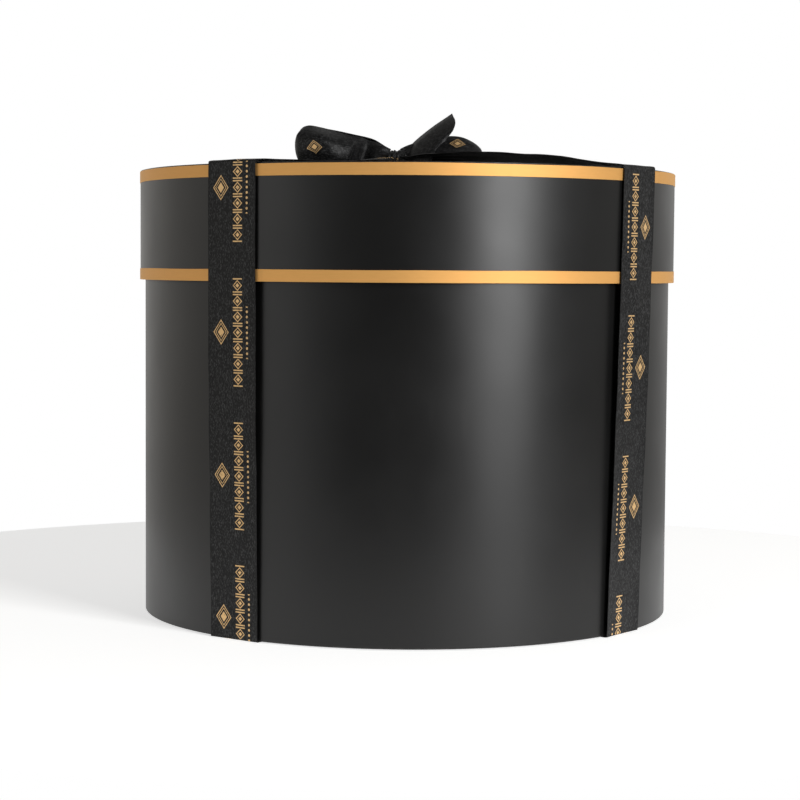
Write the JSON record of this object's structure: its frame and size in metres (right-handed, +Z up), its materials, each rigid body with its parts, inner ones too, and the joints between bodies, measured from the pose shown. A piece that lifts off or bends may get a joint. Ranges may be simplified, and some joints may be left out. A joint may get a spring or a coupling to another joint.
{
  "type": "hat box",
  "caption": "Round rigid hat box with a deep lift-off lid, gold-edged rim, and a crossed ribbon tied in a bow on top.",
  "frame": {"origin": "centre of the underside, on the surface the box stands on", "axes": "+Z up, -Y front, +X to the right seen from the front"},
  "size_m": [0.3599, 0.36, 0.3363],
  "materials": {
    "greyboard": "matte",
    "black_paper": "satin",
    "lining_paper": "matte",
    "gold_paper": "satin",
    "ribbon": "satin"
  },
  "bodies": {
    "base": {"base_wall_board": "greyboard", "base_bottom_board": "greyboard", "base_outer_wrap": "black_paper", "base_bottom_cover": "black_paper", "base_wall_lining": "lining_paper", "base_floor_lining": "lining_paper", "ribbon_under_run_a": "ribbon", "ribbon_under_run_b": "ribbon"},
    "lid": {"lid_rim_board": "greyboard", "lid_top_board": "greyboard", "lid_rim_wrap": "black_paper", "lid_top_cover": "black_paper", "lid_top_trim": "gold_paper", "lid_bottom_trim": "gold_paper", "lid_rim_lining": "lining_paper", "lid_top_lining": "lining_paper"},
    "ribbon": {"ribbon_top_run_front_left": "ribbon", "ribbon_top_run_front_right": "ribbon", "ribbon_top_run_back_right": "ribbon", "ribbon_top_run_back_left": "ribbon", "bow_knot": "ribbon", "bow_loop_left": "ribbon", "bow_loop_right": "ribbon", "bow_tail_right": "ribbon", "bow_tail_back": "ribbon"},
    "leg_front_left": {"ribbon_leg_front_left": "ribbon"},
    "leg_front_right": {"ribbon_leg_front_right": "ribbon"},
    "leg_back_right": {"ribbon_leg_back_right": "ribbon"},
    "leg_back_left": {"ribbon_leg_back_left": "ribbon"}
  },
  "joints": [
    {"name": "lid_lift", "type": "slide", "parent": "base", "child": "lid", "axis": [0, 0, 1], "range_m": [0, 0.12]},
    {"name": "ribbon_lift", "type": "slide", "parent": "lid", "child": "ribbon", "axis": [0, 0, 1], "range_m": [0, 0.3]},
    {"name": "leg_front_left_spread", "type": "hinge", "parent": "ribbon", "child": "leg_front_left", "pos_m": [-0.10775, -0.14456, 0.2955], "axis": [-0.8018, 0.5976, 0], "range_deg": [0, 45]},
    {"name": "leg_front_right_spread", "type": "hinge", "parent": "ribbon", "child": "leg_front_right", "pos_m": [0.1455, -0.10649, 0.2955], "axis": [-0.5906, -0.807, 0], "range_deg": [0, 45]},
    {"name": "leg_back_right_spread", "type": "hinge", "parent": "ribbon", "child": "leg_back_right", "pos_m": [0.10775, 0.14456, 0.2955], "axis": [0.8018, -0.5976, 0], "range_deg": [0, 45]},
    {"name": "leg_back_left_spread", "type": "hinge", "parent": "ribbon", "child": "leg_back_left", "pos_m": [-0.1455, 0.10649, 0.2955], "axis": [0.5906, 0.807, 0], "range_deg": [0, 45]}
  ],
  "couplings": [
    {"joint": "leg_front_left_spread", "follows": "ribbon_lift", "rad_per_m": 2.6},
    {"joint": "leg_front_right_spread", "follows": "ribbon_lift", "rad_per_m": 2.6},
    {"joint": "leg_back_right_spread", "follows": "ribbon_lift", "rad_per_m": 2.6},
    {"joint": "leg_back_left_spread", "follows": "ribbon_lift", "rad_per_m": 2.6}
  ]
}
